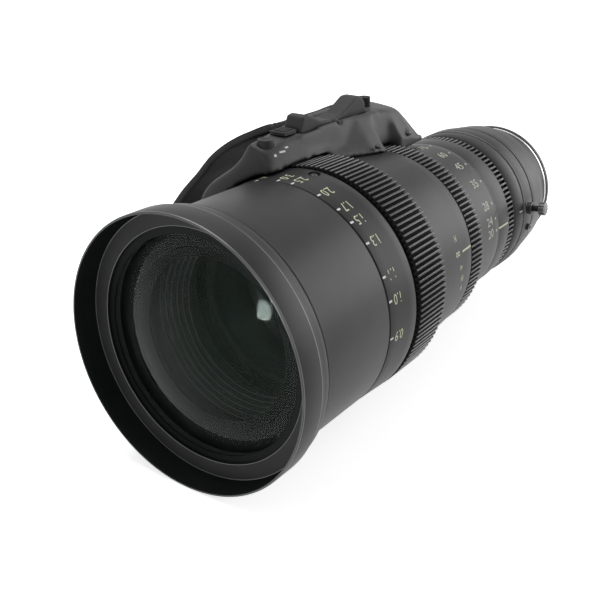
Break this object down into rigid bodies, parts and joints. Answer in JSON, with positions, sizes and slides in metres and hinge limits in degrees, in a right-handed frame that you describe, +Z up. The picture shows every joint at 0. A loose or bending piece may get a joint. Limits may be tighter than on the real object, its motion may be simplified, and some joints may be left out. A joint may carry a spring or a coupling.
{
  "type": "cinema zoom lens",
  "caption": "Cinema zoom lens with geared focus, zoom and iris rings, a flanged rear mount and a motorised side grip with hand strap and zoom rocker.",
  "frame": {"origin": "centre of the rear mount's seating face on the optical axis", "axes": "+Y along the optical axis towards the camera, +Z up, +X towards the side with the index lines"},
  "size_m": [0.164, 0.296, 0.1294],
  "materials": {
    "anodised_black": "satin",
    "gear_black": "satin",
    "inner_black": "matt",
    "grip_black": "fine textured paint",
    "bare_metal": "polished",
    "brass": "machined",
    "glass": "coated",
    "rubber": "matt",
    "strap": "grained",
    "board": "soldermask"
  },
  "bodies": {
    "barrel": {"front_ring": "anodised_black", "front_retaining_ring": "inner_black", "front_cell": "inner_black", "front_element": "glass", "second_element": "glass", "front_barrel": "anodised_black", "mid_body": "anodised_black", "guide_tube": "bare_metal", "index_ring": "anodised_black", "relay_cell": "inner_black", "relay_element": "glass", "iris_base": "inner_black", "rear_body": "anodised_black", "mount_flange": "bare_metal", "rear_tube": "inner_black", "rear_element": "glass", "grip_shell": "grip_black", "palm_cover": "grip_black", "grip_screws": "bare_metal", "gear_cover": "grip_black", "focus_motor": "bare_metal", "zoom_motor": "bare_metal", "iris_motor": "bare_metal", "circuit_board": "board", "connector_socket": "bare_metal", "hand_strap": "strap"},
    "focus_ring_group": {"focus_ring": "anodised_black", "focus_gear": "gear_black", "focus_ring_screw": "bare_metal"},
    "focus_group": {"focus_cell": "inner_black", "focus_element": "glass"},
    "zoom_ring_group": {"zoom_gear": "gear_black", "zoom_ring": "anodised_black", "cam_tube": "brass"},
    "variator_group": {"variator_cell": "inner_black", "variator_element": "glass"},
    "compensator_group": {"compensator_cell": "inner_black", "compensator_element": "glass"},
    "iris_ring_group": {"iris_ring": "anodised_black", "iris_drive_ring": "inner_black"},
    "back_focus_group": {"back_focus_ring": "anodised_black"},
    "back_focus_lock": {"back_focus_lock": "anodised_black"},
    "rear_group": {"rear_cell": "inner_black", "rear_group_lens": "glass"},
    "focus_pinion": {"focus_pinion": "brass"},
    "zoom_pinion": {"zoom_pinion": "brass"},
    "iris_pinion": {"iris_pinion": "brass"},
    "zoom_rocker": {"zoom_rocker": "rubber"},
    "record_button": {"record_button": "rubber"},
    "mode_switch": {"mode_switch": "rubber"},
    "speed_dial": {"speed_dial": "rubber"},
    "blade_1": {"iris_blade_1": "inner_black"},
    "blade_2": {"iris_blade_2": "inner_black"},
    "blade_3": {"iris_blade_3": "inner_black"},
    "blade_4": {"iris_blade_4": "inner_black"},
    "blade_5": {"iris_blade_5": "inner_black"},
    "blade_6": {"iris_blade_6": "inner_black"},
    "blade_7": {"iris_blade_7": "inner_black"},
    "blade_8": {"iris_blade_8": "inner_black"},
    "blade_9": {"iris_blade_9": "inner_black"}
  },
  "joints": [
    {"name": "focus_turn", "type": "hinge", "parent": "barrel", "child": "focus_ring_group", "pos_m": [0, 0, 0], "axis": [0, 1, 0], "range_deg": [-6, 190]},
    {"name": "zoom_turn", "type": "hinge", "parent": "barrel", "child": "zoom_ring_group", "pos_m": [0, 0, 0], "axis": [0, 1, 0], "range_deg": [0, 120]},
    {"name": "iris_turn", "type": "hinge", "parent": "barrel", "child": "iris_ring_group", "pos_m": [0, 0, 0], "axis": [0, 1, 0], "range_deg": [0, 60]},
    {"name": "back_focus_turn", "type": "hinge", "parent": "barrel", "child": "back_focus_group", "pos_m": [0, 0, 0], "axis": [0, 1, 0], "range_deg": [-8, 8]},
    {"name": "back_focus_lock_turn", "type": "hinge", "parent": "back_focus_group", "child": "back_focus_lock", "pos_m": [0, -0.047, 0], "axis": [0.9925, 0, 0.1219], "range_deg": [0, 90]},
    {"name": "focus_slide", "type": "slide", "parent": "barrel", "child": "focus_group", "axis": [0, 1, 0], "range_m": [-0.0006, 0.01]},
    {"name": "variator_slide", "type": "slide", "parent": "barrel", "child": "variator_group", "axis": [0, 1, 0], "range_m": [0, 0.028]},
    {"name": "compensator_slide", "type": "slide", "parent": "barrel", "child": "compensator_group", "axis": [0, 1, 0], "range_m": [-0.01, 0]},
    {"name": "rear_slide", "type": "slide", "parent": "barrel", "child": "rear_group", "axis": [0, 1, 0], "range_m": [-0.0003, 0.0003]},
    {"name": "focus_pinion_turn", "type": "hinge", "parent": "barrel", "child": "focus_pinion", "pos_m": [-0.05649, 0, 0.02056], "axis": [0, 1, 0], "range_deg": [-1395, 45]},
    {"name": "zoom_pinion_turn", "type": "hinge", "parent": "barrel", "child": "zoom_pinion", "pos_m": [-0.05597, 0, 0.00787], "axis": [0, 1, 0], "range_deg": [-586, 1]},
    {"name": "iris_pinion_turn", "type": "hinge", "parent": "barrel", "child": "iris_pinion", "pos_m": [-0.05305, 0, -0.01421], "axis": [0, 1, 0], "range_deg": [-170, 1]},
    {"name": "blade_1_swing", "type": "hinge", "parent": "barrel", "child": "blade_1", "pos_m": [0.026, 0, 0], "axis": [0, 1, 0], "range_deg": [-33, 0]},
    {"name": "blade_2_swing", "type": "hinge", "parent": "barrel", "child": "blade_2", "pos_m": [0.01992, 0, 0.01671], "axis": [0, 1, 0], "range_deg": [-33, 0]},
    {"name": "blade_3_swing", "type": "hinge", "parent": "barrel", "child": "blade_3", "pos_m": [0.00451, 0, 0.0256], "axis": [0, 1, 0], "range_deg": [-33, 0]},
    {"name": "blade_4_swing", "type": "hinge", "parent": "barrel", "child": "blade_4", "pos_m": [-0.013, 0, 0.02252], "axis": [0, 1, 0], "range_deg": [-33, 0]},
    {"name": "blade_5_swing", "type": "hinge", "parent": "barrel", "child": "blade_5", "pos_m": [-0.02443, 0, 0.00889], "axis": [0, 1, 0], "range_deg": [-33, 0]},
    {"name": "blade_6_swing", "type": "hinge", "parent": "barrel", "child": "blade_6", "pos_m": [-0.02443, 0, -0.00889], "axis": [0, 1, 0], "range_deg": [-33, 0]},
    {"name": "blade_7_swing", "type": "hinge", "parent": "barrel", "child": "blade_7", "pos_m": [-0.013, 0, -0.02252], "axis": [0, 1, 0], "range_deg": [-33, 0]},
    {"name": "blade_8_swing", "type": "hinge", "parent": "barrel", "child": "blade_8", "pos_m": [0.00451, 0, -0.0256], "axis": [0, 1, 0], "range_deg": [-33, 0]},
    {"name": "blade_9_swing", "type": "hinge", "parent": "barrel", "child": "blade_9", "pos_m": [0.01992, 0, -0.01671], "axis": [0, 1, 0], "range_deg": [-33, 0]},
    {"name": "rocker_tip", "type": "hinge", "parent": "barrel", "child": "zoom_rocker", "pos_m": [-0.019, -0.1535, 0.064], "axis": [1, 0, 0], "range_deg": [-6, 6], "stiffness_Nm_per_rad": 0.5},
    {"name": "record_press", "type": "slide", "parent": "barrel", "child": "record_button", "axis": [0, 0, -1], "range_m": [0, 0.0012], "stiffness_N_per_m": 400, "springref_m": -0.0005},
    {"name": "mode_slide", "type": "slide", "parent": "barrel", "child": "mode_switch", "axis": [0, 1, 0], "range_m": [-0.0015, 0.0015]},
    {"name": "speed_dial_turn", "type": "hinge", "parent": "barrel", "child": "speed_dial", "pos_m": [-0.0205, -0.118, 0], "axis": [0, 0, 1], "range_deg": [0, 270]}
  ],
  "couplings": [
    {"joint": "focus_slide", "follows": "focus_turn", "m_per_rad": 0.0028648},
    {"joint": "variator_slide", "follows": "zoom_turn", "m_per_rad": 0.013369},
    {"joint": "compensator_slide", "follows": "zoom_turn", "m_per_rad": -0.0047746},
    {"joint": "rear_slide", "follows": "back_focus_turn", "m_per_rad": 0.0021486},
    {"joint": "focus_pinion_turn", "follows": "focus_turn", "ratio": -7.3333},
    {"joint": "zoom_pinion_turn", "follows": "zoom_turn", "ratio": -4.875},
    {"joint": "iris_pinion_turn", "follows": "iris_turn", "ratio": -2.8056},
    {"joint": "blade_1_swing", "follows": "iris_turn", "ratio": -0.53333},
    {"joint": "blade_2_swing", "follows": "iris_turn", "ratio": -0.53333},
    {"joint": "blade_3_swing", "follows": "iris_turn", "ratio": -0.53333},
    {"joint": "blade_4_swing", "follows": "iris_turn", "ratio": -0.53333},
    {"joint": "blade_5_swing", "follows": "iris_turn", "ratio": -0.53333},
    {"joint": "blade_6_swing", "follows": "iris_turn", "ratio": -0.53333},
    {"joint": "blade_7_swing", "follows": "iris_turn", "ratio": -0.53333},
    {"joint": "blade_8_swing", "follows": "iris_turn", "ratio": -0.53333},
    {"joint": "blade_9_swing", "follows": "iris_turn", "ratio": -0.53333}
  ]
}
